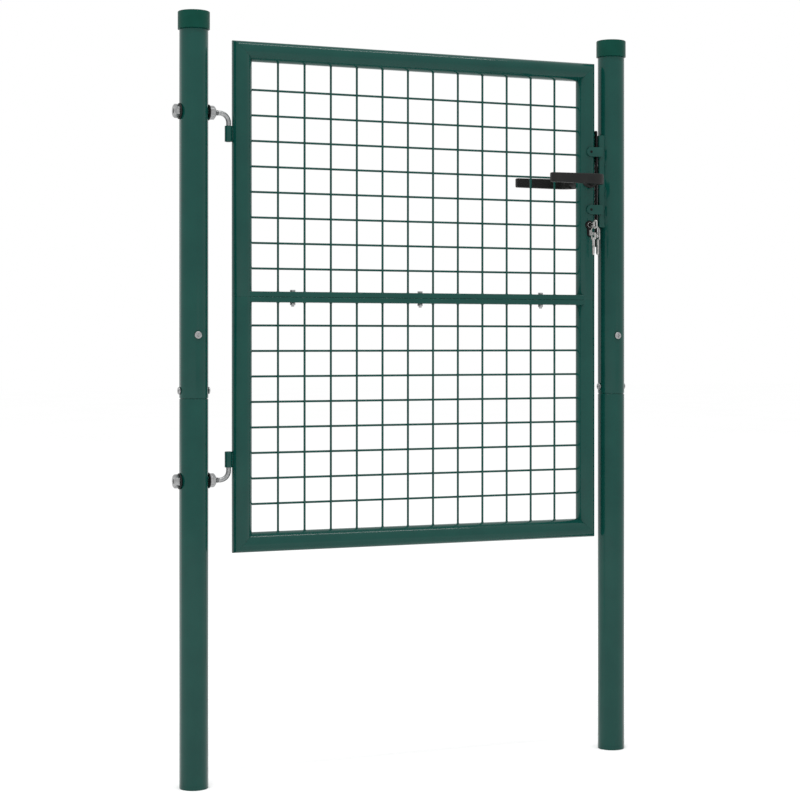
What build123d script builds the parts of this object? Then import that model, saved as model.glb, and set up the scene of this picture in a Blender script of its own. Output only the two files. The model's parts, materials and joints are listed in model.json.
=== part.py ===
from build123d import *
import os
from math import sqrt

# Garden gate: two round posts, a leaf of round tube with welded mesh in two bolted halves, two hook
# hinges, and a cylinder lock with lever handles. Millimetres. The origin is on the hinge post's axis
# at its foot, +X runs along the gate to the latch post, +Y is the side the leaf opens to, +Z is up.

# Posts
POST_D = 56.0
POST_WALL = 1.5
POST_ABOVE_LEAF = 50.6       # top of the cap above the leaf
POST_JOINT_Z = 752.5         # where the two sections of a post meet
POST_JOINT_BEAD = 1.6        # bead on the coupler that the sections seat on
PASSAGE = 865.5              # clear width between the posts
CAP_WALL = 3.0
CAP_H = 34.2
CAP_TOP = 3.0
CAP_EDGE = 1.8
CAP_FIT = 0.1
COUPLER_WALL = 2.0
COUPLER_FIT = 0.15
COUPLER_BELOW = 100.0
COUPLER_ABOVE = 150.0
SCREW_D = 6.0
SCREW_HEAD_D = 14.5
SCREW_HEAD_H = 2.6
SCREW_LENGTH = 9.0
SCREW_WASHER_D = 14.0
SCREW_WASHER_T = 0.8
FRONT_SCREW_RISE = 122.5     # above the post joint
SIDE_SCREW_RISE = 15.0

# Leaf frame and mesh
FRAME_D = 39.4
FRAME_WALL = 1.5
HINGE_SIDE_GAP = 49.7        # hinge post to the leaf
LATCH_SIDE_GAP = 14.9        # leaf to the latch post
LEAF_HEIGHT = 999.2
LEAF_BOTTOM_Z = 450.2
MID_RAIL_DEPTH = 33.5
MID_RAIL_H = 10.6
MID_RAIL_WALL = 1.5
MID_RAIL_EDGE = 1.6
WIRE_D = 4.4
CROSS_WIRES = 8              # in each half
UPRIGHT_WIRES = 12
UPRIGHT_START = 74.1         # first upright wire from the stile's axis
CROSS_START = 45.3           # first cross wire above or below the mid rails
CROSS_END = 74.2             # last cross wire from the rail's axis
BOLT_D = 6.0
BOLT_HEAD_AF = 10.0
BOLT_HEAD_H = 4.0
BOLT_NUT_H = 5.0
BOLT_END = 3.0               # bolt's end beyond its nut
BOLT_SPACING = 275.0

# Hinges
HOOK_D = 9.6
HOOK_BEND = 18.0
HOOK_FIT = 0.08              # running clearance in the sleeve, on the radius
HINGE_OFFSET = 356.7         # hook bolts from mid-height
SLEEVE_OFFSET = 317.0        # sleeve centres from mid-height
SLEEVE_D = 15.0
SLEEVE_H = 31.0
HINGE_NUT_AF = 24.0
OUTER_NUT_T = 10.25
INNER_NUT_T = 14.35
INNER_NUT_NOSE_D = 12.8
HOOK_RECESS = 4.0            # hook's end inside the outer nut
SPACER_D = 31.0
SPACER_T = 2.5
SPACER_HUB_D = 18.0

# Lock, placed from the lever's spindle on the latch stile's axis
SPINDLE_RISE = 249.7         # above the leaf's mid-height
CYLINDER_DROP = 92.0
FOREND_WIDTH = 26.0
FOREND_T = 3.0
FOREND_ABOVE = 107.5
FOREND_BELOW = 137.5
CASE_T = 16.0                # across the stile
CASE_WALL = 1.5
CASE_PLAY = 0.75             # case's back corners to the stile's wall
CASE_ABOVE = 40.5
CASE_BELOW = 124.5
SPINDLE_SIDE = 8.0
SPINDLE_REACH = 52.0         # spindle's end from the leaf's mid-plane
FOLLOWER_R = 9.0
FOLLOWER_JOURNAL_R = 7.25
FOLLOWER_ARM = 12.5          # arm's end from the spindle's axis
FOLLOWER_ARM_W = 5.0
LATCH_RISE = 22.0
LATCH_H = 20.0
LATCH_PLAY = 0.5             # latch's sides to the case
LATCH_REACH = 7.5            # in front of the forend at rest
LATCH_HEAD_L = 20.8
LATCH_BAR_T = 6.0
DEADBOLT_DROP = 66.5
DEADBOLT_H = 20.0
DEADBOLT_PLAY = 1.5
DEADBOLT_L = 30.8
CYLINDER_R = 8.5
CYLINDER_TAIL_W = 10.0
CYLINDER_TAIL = 24.5         # tail's end below the cylinder's axis
CYLINDER_LENGTH = 44.0
PLUG_R = 5.5
CAM_R = 13.8
CAM_T = 8.6
RUN = 0.05                   # running clearance of the plug and follower, on the radius
PLUG_GAP = 0.15
PART_GAP = 0.3               # between lock pieces that slide past each other

# Lever handles and rosettes
LEVER_LENGTH = 122.5         # from the spindle to the free end
LEVER_REACH = 85.0           # outer face from the leaf's mid-plane
LEVER_DEPTH = 12.0
LEVER_END_H = 19.5
LEVER_ROOT_H = 21.5
LEVER_BEND = 29.0            # outer radius of the bend
LEVER_EDGE = 2.6
NECK_D = 18.0
ROSETTE_D = 29.0
ROSETTE_REACH = 27.5

# Keys
KEY_T = 2.2
KEY_WIDTH = 18.0
KEY_BOW = 16.0
KEY_BLADE = 31.2
KEY_BLADE_W = 8.5
KEY_HOLE_LONG = 7.5
KEY_HOLE_WIDE = 11.0
KEY_HOLE_SHIFT = 1.0         # away from the blade
KEY_STANDOFF = 14.0          # bow in front of the cylinder's face
RING_R = 9.6
RING_WIRE_D = 1.8
RING_SLACK = 0.35
SPARE_KEY_OFFSET = 4.8
SPARE_KEY_HANG = 1.9         # hole's edge above the ring's wire

# Keeper and stops on the latch post
KEEPER_GAP = 3.3             # to the lock's forend
KEEPER_WIDTH = 31.0
KEEPER_WALL = 2.0
KEEPER_H = 194.0
KEEPER_RISE = 0.8            # keeper's centre above the spindle
STOP_SPACING = 121.4
STOP_H = 20.0
STOP_T = 2.5
STOP_SHIFT = 2.0              # tongue's centre from the stile's axis, towards the post
STOP_CLEAR = 2.1             # back of the stop to the stile
STOP_LEG_T = 2.5
BUFFER_D = 8.0
BUFFER_STEM_D = 4.0

POST_R = POST_D / 2
FRAME_R = FRAME_D / 2
POST_X = POST_D + PASSAGE                      # latch post's axis
POST_TOP_Z = LEAF_BOTTOM_Z + LEAF_HEIGHT + POST_ABOVE_LEAF
POST_TUBE_TOP = POST_TOP_Z - CAP_TOP
MID_Z = LEAF_BOTTOM_Z + LEAF_HEIGHT / 2
SPINDLE_Z = MID_Z + SPINDLE_RISE
HINGE_TO_STILE = SLEEVE_D / 2 + FRAME_R
LEAF_WIDTH = PASSAGE - HINGE_SIDE_GAP - LATCH_SIDE_GAP
STILE_SPAN = LEAF_WIDTH - FRAME_D
STILE_X2 = POST_X - POST_R - LATCH_SIDE_GAP - FRAME_R
STILE_X1 = STILE_X2 - STILE_SPAN
HINGE_X = STILE_X1 - HINGE_TO_STILE
TOP_RAIL_Z = LEAF_BOTTOM_Z + LEAF_HEIGHT - FRAME_R
BOTTOM_RAIL_Z = LEAF_BOTTOM_Z + FRAME_R
CYLINDER_Z = SPINDLE_Z - CYLINDER_DROP
FOREND_X = STILE_X2 + FRAME_R
FOREND_FACE = FOREND_X + FOREND_T
KEEPER_X = FOREND_FACE + KEEPER_GAP
KEEPER_Z = SPINDLE_Z + KEEPER_RISE
LATCH_Z = SPINDLE_Z + LATCH_RISE
LATCH_T = CASE_T - 2 * CASE_WALL - 2 * LATCH_PLAY
DEADBOLT_T = CASE_T - 2 * CASE_WALL - 2 * DEADBOLT_PLAY
CASE_BACK = sqrt((FRAME_R - FRAME_WALL) ** 2 - (CASE_T / 2) ** 2) - CASE_PLAY
DEADBOLT_Z = SPINDLE_Z - DEADBOLT_DROP

nodes = {}


def cyl(start, direction, radius, length):
    """A round bar that starts at a point and runs along a direction."""
    bar = Cylinder(radius, length, align=(Align.CENTER, Align.CENTER, Align.MIN))
    return Plane(origin=start, z_dir=direction) * bar


def tube(start, direction, outer, inner, length):
    return cyl(start, direction, outer, length) - cyl(start, direction, inner, length)


def block(low, high):
    """A box between its lowest and highest corners."""
    size = [b - a for a, b in zip(low, high)]
    middle = [(a + b) / 2 for a, b in zip(low, high)]
    return Pos(*middle) * Box(*size)


def hexagon(start, direction, across_flats, length):
    """A hexagonal bar, two of its corners along Z or, when it runs along Z, along X."""
    side = (1, 0, 0) if direction[2] else (0, 0, 1)
    plane = Plane(origin=start, x_dir=side, z_dir=direction)
    outline = RegularPolygon(across_flats / 2, 6, major_radius=False)
    return extrude(plane * outline, length)


def save(name, *shapes):
    """Keep one node; several shapes become separate solids in it."""
    solids = [solid for shape in shapes for solid in shape.solids()]
    nodes[name] = solids[0] if len(solids) == 1 else Compound(solids)


# ---------------------------------------------------------------- posts

def joint_screw_sites(x):
    """Where the screws enter one post: a point on its surface and the way out of it."""
    sites = [((x, -POST_R, POST_JOINT_Z + FRONT_SCREW_RISE), (0, -1, 0))]
    for way in (-1, 1):
        sites.append(((x + way * POST_R, 0, POST_JOINT_Z + SIDE_SCREW_RISE), (way, 0, 0)))
    return sites


def shifted(point, direction, distance):
    return tuple(p + d * distance for p, d in zip(point, direction))


def across(point, direction, radius):
    """A short drill along a screw, through the walls at its site."""
    start = shifted(point, direction, -SCREW_LENGTH)
    return cyl(start, direction, radius, 2 * SCREW_LENGTH)


def post_sections(name, x, drills):
    """The lower and upper tube of one post, chamfered where they meet."""
    seam_low = POST_JOINT_Z - POST_JOINT_BEAD / 2
    seam_high = POST_JOINT_Z + POST_JOINT_BEAD / 2
    inner = POST_R - POST_WALL
    lower = tube((x, 0, 0), (0, 0, 1), POST_R, inner, seam_low)
    upper = tube((x, 0, seam_high), (0, 0, 1), POST_R, inner, POST_TUBE_TOP - seam_high)
    lower_rim = [e for e in lower.edges().group_by(Axis.Z)[-1] if e.radius > inner + 0.01]
    upper_rim = [e for e in upper.edges().group_by(Axis.Z)[0] if e.radius > inner + 0.01]
    lower = chamfer(lower_rim, POST_WALL * 0.4)
    upper = chamfer(upper_rim, POST_WALL * 0.4)
    for drill in drills:
        lower = lower - drill
        upper = upper - drill
    save(name + "_lower", lower)
    save(name + "_upper", upper)


def post_coupler(name, x):
    """The sleeve inside a post's joint, with the bead that the sections seat on."""
    outer = POST_R - POST_WALL - COUPLER_FIT
    start = (x, 0, POST_JOINT_Z - COUPLER_BELOW)
    sleeve = cyl(start, (0, 0, 1), outer, COUPLER_BELOW + COUPLER_ABOVE)
    sleeve += cyl((x, 0, POST_JOINT_Z - POST_JOINT_BEAD / 2), (0, 0, 1), POST_R - POST_WALL * 0.8, POST_JOINT_BEAD)
    sleeve -= cyl(start, (0, 0, 1), outer - COUPLER_WALL, COUPLER_BELOW + COUPLER_ABOVE)
    for point, way in joint_screw_sites(x):
        sleeve -= across(point, way, SCREW_D / 2)
    save(name + "_coupler", sleeve)


def post_cap(name, x):
    """A plastic cap with a rounded top that slips over the tube."""
    body = cyl((x, 0, POST_TOP_Z - CAP_H), (0, 0, 1), POST_R + CAP_WALL, CAP_H)
    body = fillet(body.edges().group_by(Axis.Z)[-1], CAP_EDGE)
    seat = cyl((x, 0, POST_TOP_Z - CAP_H), (0, 0, 1), POST_R + CAP_FIT, CAP_H - CAP_TOP)
    save(name + "_cap", body - seat)


def joint_screw(point, way):
    """A pan-head screw with a cross recess, on its washer."""
    seat = shifted(point, way, SCREW_WASHER_T)
    head = cyl(seat, way, SCREW_HEAD_D / 2, SCREW_HEAD_H)
    along = Axis.Y if way[1] else Axis.X
    outer = -1 if sum(way) > 0 else 0
    head = fillet(head.edges().group_by(along)[outer], SCREW_HEAD_H * 0.62)
    top = Plane(origin=shifted(seat, way, SCREW_HEAD_H), x_dir=(0, 0, 1), z_dir=way)
    for arm in (Rectangle(8.0, 1.9), Rectangle(1.9, 8.0)):
        head -= extrude(top * arm, -SCREW_HEAD_H * 0.7)
    return head + cyl(seat, shifted((0, 0, 0), way, -1), SCREW_D / 2, SCREW_LENGTH)


def screw_washer(point, way, x):
    """A soft washer, hollowed to sit on the round post."""
    start = shifted(point, way, -POST_WALL)
    ring = tube(start, way, SCREW_WASHER_D / 2, SCREW_D / 2, POST_WALL + SCREW_WASHER_T)
    return ring - cyl((x, 0, point[2] - SCREW_WASHER_D), (0, 0, 1), POST_R, 2 * SCREW_WASHER_D)


def posts():
    hook_levels = (MID_Z - HINGE_OFFSET, MID_Z + HINGE_OFFSET)
    hook_drills = [cyl((-POST_D, 0, z), (1, 0, 0), HOOK_D / 2 + 0.4, 2 * POST_D) for z in hook_levels]
    screws = []
    washers = []
    for name, x, extra in (("hinge_post", 0.0, hook_drills), ("latch_post", POST_X, [])):
        sites = joint_screw_sites(x)
        drills = [across(point, way, SCREW_D / 2 + 0.2) for point, way in sites]
        post_sections(name, x, drills + extra)
        post_coupler(name, x)
        post_cap(name, x)
        screws += [joint_screw(point, way) for point, way in sites]
        washers += [screw_washer(point, way, x) for point, way in sites]
    save("post_joint_screws", *screws)
    save("post_screw_washers", *washers)


# ---------------------------------------------------------------- hinges

def hinge_hook(z, down):
    """A round hook bolt through the post, bent a quarter turn into the sleeve's pintle."""
    turn = -1 if down else 1
    start_x = -(POST_R + SPACER_T + OUTER_NUT_T - HOOK_RECESS)
    bend_x = HINGE_X - HOOK_BEND
    shank = cyl((start_x, 0, z), (1, 0, 0), HOOK_D / 2, bend_x - start_x)
    section = Plane(origin=(bend_x, 0, z), z_dir=(1, 0, 0)) * Circle(HOOK_D / 2)
    hub = Axis((bend_x, 0, z + turn * HOOK_BEND), (0, -turn, 0))
    bend = revolve(section, hub, 90)
    far_end = MID_Z - turn * SLEEVE_OFFSET + turn * (SLEEVE_H / 2 - 2)
    pintle = cyl((HINGE_X, 0, z + turn * HOOK_BEND), (0, 0, turn), HOOK_D / 2,
                 abs(far_end - z) - HOOK_BEND)
    return shank + bend + pintle


def outer_nut(z):
    """The plain nut on the far side of the post, chamfered on its outer face."""
    seat = -(POST_R + SPACER_T)
    nut = hexagon((seat, 0, z), (-1, 0, 0), HINGE_NUT_AF, OUTER_NUT_T)
    corner = HINGE_NUT_AF / sqrt(3)
    nut &= cone_end((seat, 0, z), (-1, 0, 0), corner, HINGE_NUT_AF / 2 - 0.6, OUTER_NUT_T, 2.0)
    return nut - cyl((seat, 0, z), (-1, 0, 0), HOOK_D / 2, OUTER_NUT_T)


def inner_nut(z):
    """The nut beside the gap, turned down to a nose around the hook."""
    seat = POST_R + SPACER_T
    nut = hexagon((seat, 0, z), (1, 0, 0), HINGE_NUT_AF, INNER_NUT_T)
    corner = HINGE_NUT_AF / sqrt(3)
    nut &= cone_end((seat, 0, z), (1, 0, 0), corner, INNER_NUT_NOSE_D / 2, INNER_NUT_T, INNER_NUT_T * 0.35)
    return nut - cyl((seat, 0, z), (1, 0, 0), HOOK_D / 2, INNER_NUT_T)


def cone_end(start, way, radius, end_radius, length, cone_length):
    """A bar of the given radius whose last stretch narrows to the end radius."""
    plain = length - cone_length
    bar = cyl(start, way, radius, plain)
    cone = Cone(radius, end_radius, cone_length, align=(Align.CENTER, Align.CENTER, Align.MIN))
    return bar + Plane(origin=shifted(start, way, plain), z_dir=way) * cone


def spacer(z, side):
    """A thick plastic washer whose hub is hollowed to sit on the round post."""
    disc = cyl((side * POST_R, 0, z), (side, 0, 0), SPACER_D / 2, SPACER_T)
    disc = fillet(disc.edges().filter_by(GeomType.CIRCLE), 0.6)
    hub = cyl((side * (POST_R - SPACER_T / 2), 0, z), (side, 0, 0), SPACER_HUB_D / 2, SPACER_T)
    hub -= cyl((0, 0, z - SPACER_D), (0, 0, 1), POST_R, 2 * SPACER_D)
    bore = cyl((0, 0, z), (side, 0, 0), HOOK_D / 2 + 0.2, 2 * POST_D)
    return disc + hub - bore


def hinges():
    top = MID_Z + HINGE_OFFSET
    bottom = MID_Z - HINGE_OFFSET
    save("top_hinge_hook", hinge_hook(top, True))
    save("bottom_hinge_hook", hinge_hook(bottom, False))
    save("hinge_outer_nuts", outer_nut(top), outer_nut(bottom))
    save("hinge_inner_nuts", inner_nut(top), inner_nut(bottom))
    save("hinge_spacers", *[spacer(z, side) for z in (top, bottom) for side in (-1, 1)])
    for name, offset in (("top_hinge_sleeve", SLEEVE_OFFSET), ("bottom_hinge_sleeve", -SLEEVE_OFFSET)):
        start = (HINGE_X, 0, MID_Z + offset - SLEEVE_H / 2)
        save(name, tube(start, (0, 0, 1), SLEEVE_D / 2, HOOK_D / 2 + HOOK_FIT, SLEEVE_H))


# ---------------------------------------------------------------- leaf

def mitred(shape, x, z, side, up, keep_rail):
    """One piece of a mitred corner: side is +1 at the left corner, up is +1 at the top."""
    plane = Plane(origin=(x, 0, z), z_dir=(side, 0, up))
    return split(shape, bisect_by=plane, keep=Keep.TOP if keep_rail else Keep.BOTTOM)


def frame_tube(start, direction, length):
    return tube(start, direction, FRAME_R, FRAME_R - FRAME_WALL, length)


def stile(x, side, up, cuts):
    """Half a stile, from the leaf's mid-height to its mitred corner."""
    corner_z = TOP_RAIL_Z if up > 0 else BOTTOM_RAIL_Z
    length = abs(corner_z - MID_Z) + FRAME_R
    piece = mitred(frame_tube((x, 0, MID_Z), (0, 0, up), length), x, corner_z, side, up, False)
    for cut in cuts:
        piece -= cut
    return piece


def end_rail(z, up):
    """The top or bottom rail, mitred at both ends."""
    rail = frame_tube((STILE_X1 - FRAME_R, 0, z), (1, 0, 0), LEAF_WIDTH)
    rail = mitred(rail, STILE_X1, z, 1, up, True)
    return mitred(rail, STILE_X2, z, -1, up, True)


def stile_cores():
    """The space that both stiles fill, for cutting what ends on them."""
    height = LEAF_HEIGHT - FRAME_D
    return [cyl((x, 0, LEAF_BOTTOM_Z + FRAME_R), (0, 0, 1), FRAME_R, height) for x in (STILE_X1, STILE_X2)]


def mid_rail(up):
    """One of the two flat rails that bolt the halves together."""
    z = MID_Z + up * MID_RAIL_H / 2
    plane = Plane(origin=(STILE_X1, 0, z), x_dir=(0, 1, 0), z_dir=(1, 0, 0))
    outer = plane * RectangleRounded(MID_RAIL_DEPTH, MID_RAIL_H, MID_RAIL_EDGE)
    inner = plane * Rectangle(MID_RAIL_DEPTH - 2 * MID_RAIL_WALL, MID_RAIL_H - 2 * MID_RAIL_WALL)
    rail = extrude(outer, STILE_SPAN) - extrude(inner, STILE_SPAN)
    for core in stile_cores():
        rail -= core
    for x in bolt_places():
        rail -= cyl((x, 0, MID_Z - 2 * MID_RAIL_H), (0, 0, 1), BOLT_D / 2 + 0.2, 4 * MID_RAIL_H)
    return rail


def bolt_places():
    centre = (STILE_X1 + STILE_X2) / 2
    return [centre - BOLT_SPACING, centre, centre + BOLT_SPACING]


def mid_rail_bolt(x):
    top = MID_Z + MID_RAIL_H
    head = hexagon((x, 0, top), (0, 0, 1), BOLT_HEAD_AF, BOLT_HEAD_H)
    length = 2 * MID_RAIL_H + BOLT_NUT_H + BOLT_END
    return head + cyl((x, 0, top - length), (0, 0, 1), BOLT_D / 2, length)


def mid_rail_nut(x):
    bottom = MID_Z - MID_RAIL_H - BOLT_NUT_H
    nut = hexagon((x, 0, bottom), (0, 0, 1), BOLT_HEAD_AF, BOLT_NUT_H)
    return nut - cyl((x, 0, bottom), (0, 0, 1), BOLT_D / 2, BOLT_NUT_H)


def upright_wires(up):
    """The wires that run up and down one half, in front of the cross wires."""
    pitch = (STILE_SPAN - 2 * UPRIGHT_START) / (UPRIGHT_WIRES - 1)
    start = MID_Z + up * MID_RAIL_H
    rail_z = TOP_RAIL_Z if up > 0 else BOTTOM_RAIL_Z
    core = cyl((STILE_X1, 0, rail_z), (1, 0, 0), FRAME_R, STILE_SPAN)
    wires = []
    for i in range(UPRIGHT_WIRES):
        x = STILE_X1 + UPRIGHT_START + i * pitch
        wire = cyl((x, -WIRE_D / 2, start), (0, 0, up), WIRE_D / 2, abs(rail_z - start))
        wires.append(wire - core)
    return wires


def cross_wires(up):
    wires = []
    cores = stile_cores()
    first = MID_RAIL_H + CROSS_START
    last = TOP_RAIL_Z - MID_Z - CROSS_END
    for i in range(CROSS_WIRES):
        z = MID_Z + up * (first + i * (last - first) / (CROSS_WIRES - 1))
        wire = cyl((STILE_X1, WIRE_D / 2, z), (1, 0, 0), WIRE_D / 2, STILE_SPAN)
        wires.append(wire - cores[0] - cores[1])
    return wires


def latch_stile_cuts():
    """The slot for the lock case, and the holes for the spindle, the cylinder and the screws."""
    side = CASE_T / 2 + PART_GAP
    low = (STILE_X2, -side, SPINDLE_Z - CASE_BELOW - PART_GAP)
    high = (STILE_X2 + FRAME_D, side, SPINDLE_Z + CASE_ABOVE + PART_GAP)
    spindle_hole = cyl((STILE_X2, -FRAME_D, SPINDLE_Z), (0, 1, 0), SPINDLE_SIDE * 0.75, 2 * FRAME_D)
    screw_holes = [cyl((STILE_X2, 0, z), (1, 0, 0), 2.0, FRAME_D) for z in forend_screw_levels()]
    return [block(low, high), spindle_hole, cylinder_outline(2 * FRAME_D, 0.8)] + screw_holes


def leaf():
    for name, x, side in (("hinge_stile", STILE_X1, 1), ("latch_stile", STILE_X2, -1)):
        cuts = latch_stile_cuts() if side < 0 else []
        save(name + "_upper", stile(x, side, 1, cuts))
        save(name + "_lower", stile(x, side, -1, []))
    save("top_rail", end_rail(TOP_RAIL_Z, 1))
    save("bottom_rail", end_rail(BOTTOM_RAIL_Z, -1))
    for name, up in (("upper", 1), ("lower", -1)):
        save(name + "_mid_rail", mid_rail(up))
        save(name + "_upright_wires", *upright_wires(up))
        save(name + "_cross_wires", *cross_wires(up))
    save("mid_rail_bolts", *[mid_rail_bolt(x) for x in bolt_places()])
    save("mid_rail_nuts", *[mid_rail_nut(x) for x in bolt_places()])


# ---------------------------------------------------------------- lock

def forend_screw_levels():
    return SPINDLE_Z - FOREND_BELOW + 7, SPINDLE_Z + FOREND_ABOVE - 7


def cylinder_outline(length, grow):
    """The profile cylinder's round head and tail, as a bar across the stile."""
    plane = Plane(origin=(STILE_X2, length / 2, CYLINDER_Z), x_dir=(1, 0, 0), z_dir=(0, -1, 0))
    width = CYLINDER_TAIL_W + 2 * grow
    foot = CYLINDER_TAIL + grow - width / 2
    outline = Circle(CYLINDER_R + grow) + Pos(0, -foot / 2) * Rectangle(width, foot)
    outline += Pos(0, -foot) * Circle(width / 2)
    return extrude(plane * outline, length)


def cylinder_body():
    """The cylinder's housing, open in the middle for the cam, with a bore for a plug at each end."""
    axis_point = (STILE_X2, -CYLINDER_LENGTH, CYLINDER_Z)
    body = cylinder_outline(CYLINDER_LENGTH, 0)
    body -= cyl(axis_point, (0, 1, 0), PLUG_R + RUN, 2 * CYLINDER_LENGTH)
    slot = CAM_T / 2 + PART_GAP
    body -= cyl((STILE_X2, -slot, CYLINDER_Z), (0, 1, 0), CAM_R + PART_GAP, 2 * slot)
    return body - cyl((STILE_X2 - 3, 0, cylinder_screw_z()), (1, 0, 0), 2.5, FRAME_D)


def cylinder_screw_z():
    """Midway down the bridge of metal below the cam."""
    return CYLINDER_Z - (CAM_R + PART_GAP + CYLINDER_TAIL) / 2


def plug(side):
    """A plug with its keyway: side is -1 at the front, +1 at the back."""
    inner = CAM_T / 2 + PLUG_GAP
    length = CYLINDER_LENGTH / 2 - inner
    start = (STILE_X2, side * inner, CYLINDER_Z)
    bar = cyl(start, (0, side, 0), PLUG_R, length)
    slot = Pos(STILE_X2, side * (key_tip() + length / 2), CYLINDER_Z) * Box(
        KEY_T + 2 * PLUG_GAP, length, KEY_BLADE_W + 2 * PLUG_GAP)
    return bar - slot


def key_tip():
    """How far the key's slot stays from the leaf's mid-plane."""
    return CYLINDER_LENGTH / 2 + KEY_STANDOFF - KEY_BLADE - PLUG_GAP


def cam():
    """The cam that throws the bolt, its lobe up at rest."""
    hub = cyl((STILE_X2, -CAM_T / 2, CYLINDER_Z), (0, 1, 0), PLUG_R + 2, CAM_T)
    lobe = block((STILE_X2 - 3, -CAM_T / 2, CYLINDER_Z), (STILE_X2 + 3, CAM_T / 2, CYLINDER_Z + CAM_R - 0.4))
    return hub + lobe


def forend():
    low = (FOREND_X, -FOREND_WIDTH / 2, SPINDLE_Z - FOREND_BELOW)
    high = (FOREND_FACE, FOREND_WIDTH / 2, SPINDLE_Z + FOREND_ABOVE)
    plate = block(low, high)
    plate = fillet(plate.edges().filter_by(Axis.X), 4)
    for z, height, thick in ((LATCH_Z, LATCH_H, LATCH_T), (DEADBOLT_Z, DEADBOLT_H, DEADBOLT_T)):
        plate -= Pos(FOREND_X, 0, z) * Box(4 * FOREND_T, thick + 2 * PART_GAP, height + 2 * PART_GAP)
    for z in forend_screw_levels():
        plate -= forend_screw(z)
    return plate - cylinder_screw()


def forend_screw(z):
    """A countersunk screw, flush with the forend."""
    shank = cyl((FOREND_FACE - 9, 0, z), (1, 0, 0), 2.0, 9)
    head = Cone(4.0, 2.0, 2.0, align=(Align.CENTER, Align.CENTER, Align.MIN))
    return shank + Plane(origin=(FOREND_FACE, 0, z), z_dir=(-1, 0, 0)) * head


def cylinder_screw():
    """The long screw from the forend that holds the cylinder."""
    z = cylinder_screw_z()
    shank = cyl((STILE_X2 - 3, 0, z), (1, 0, 0), 2.5, FOREND_FACE - STILE_X2 + 3)
    head = Cone(4.6, 2.5, 2.1, align=(Align.CENTER, Align.CENTER, Align.MIN))
    return shank + Plane(origin=(FOREND_FACE, 0, z), z_dir=(-1, 0, 0)) * head


def lock_case():
    """The steel tray of the lock, open towards the forend and the front cover."""
    low = (STILE_X2 - CASE_BACK, -CASE_T / 2 + CASE_WALL, SPINDLE_Z - CASE_BELOW)
    high = (FOREND_X, CASE_T / 2, SPINDLE_Z + CASE_ABOVE)
    hollow_low = (low[0] + CASE_WALL, low[1] - 1, low[2] + CASE_WALL)
    hollow_high = (high[0] + 1, high[1] - CASE_WALL, high[2] - CASE_WALL)
    return block(low, high) - block(hollow_low, hollow_high) - lock_bores()


def lock_cover():
    low = (STILE_X2 - CASE_BACK, -CASE_T / 2, SPINDLE_Z - CASE_BELOW)
    high = (FOREND_X, -CASE_T / 2 + CASE_WALL, SPINDLE_Z + CASE_ABOVE)
    return block(low, high) - lock_bores()


def lock_bores():
    journal = cyl((STILE_X2, -FRAME_D, SPINDLE_Z), (0, 1, 0), FOLLOWER_JOURNAL_R + RUN, 2 * FRAME_D)
    return cylinder_outline(2 * FRAME_D, PART_GAP) + journal


def follower():
    """The hub turned by the spindle, with the arm that draws the latch back."""
    half = CASE_T / 2 - CASE_WALL - PART_GAP
    hub = cyl((STILE_X2, -half, SPINDLE_Z), (0, 1, 0), FOLLOWER_R, 2 * half)
    hub += cyl((STILE_X2, -CASE_T / 2, SPINDLE_Z), (0, 1, 0), FOLLOWER_JOURNAL_R, CASE_T)
    arm = Pos(STILE_X2, 0, SPINDLE_Z + FOLLOWER_ARM / 2) * Box(FOLLOWER_ARM_W, LATCH_BAR_T, FOLLOWER_ARM)
    return hub + arm - square_bar(2 * FRAME_D, SPINDLE_SIDE)


def square_bar(length, side):
    return Pos(STILE_X2, 0, SPINDLE_Z) * Box(side, length, side)


def latch_bolt():
    """The sprung latch: a head bevelled on its front side, a bar, and a step for the follower's arm."""
    tip = FOREND_FACE + LATCH_REACH
    head_x = tip - LATCH_HEAD_L
    low_z = LATCH_Z - LATCH_H / 2
    head = block((head_x, -LATCH_T / 2, low_z), (tip, LATCH_T / 2, LATCH_Z + LATCH_H / 2))
    bevel = LATCH_REACH - 0.5
    corner = Plane.XY.offset(low_z) * make_face(Polyline(
        (tip, -LATCH_T / 2), (tip - bevel, -LATCH_T / 2), (tip, -LATCH_T / 2 + bevel), close=True))
    head -= extrude(corner, LATCH_H)
    step_x = STILE_X2 - FOLLOWER_ARM_W / 2 - 0.5
    back_x = step_x - FOLLOWER_ARM_W / 2
    bar_z = SPINDLE_Z + FOLLOWER_ARM + 1
    half = LATCH_BAR_T / 2
    bar = block((back_x, -half, bar_z), (head_x, half, bar_z + LATCH_H / 2 - 1))
    step = block((back_x, -half, SPINDLE_Z + FOLLOWER_R + 0.4), (step_x, half, bar_z))
    return head + bar + step


def deadbolt():
    """The key-driven bolt, drawn back at rest with its face just inside the forend's."""
    face = FOREND_FACE - 0.5
    low = (face - DEADBOLT_L, -DEADBOLT_T / 2, DEADBOLT_Z - DEADBOLT_H / 2)
    high = (face, DEADBOLT_T / 2, DEADBOLT_Z + DEADBOLT_H / 2)
    return block(low, high)


def lock():
    save("lock_forend", forend())
    save("forend_screws", *[forend_screw(z) for z in forend_screw_levels()])
    save("lock_case", lock_case())
    save("lock_cover", lock_cover())
    save("cylinder_body", cylinder_body())
    save("cylinder_screw", cylinder_screw())
    save("back_plug", plug(1))
    save("front_plug", plug(-1))
    save("cylinder_cam", cam())
    save("latch_follower", follower())
    save("latch_bolt", latch_bolt())
    save("deadbolt", deadbolt())


# ---------------------------------------------------------------- levers

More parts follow.
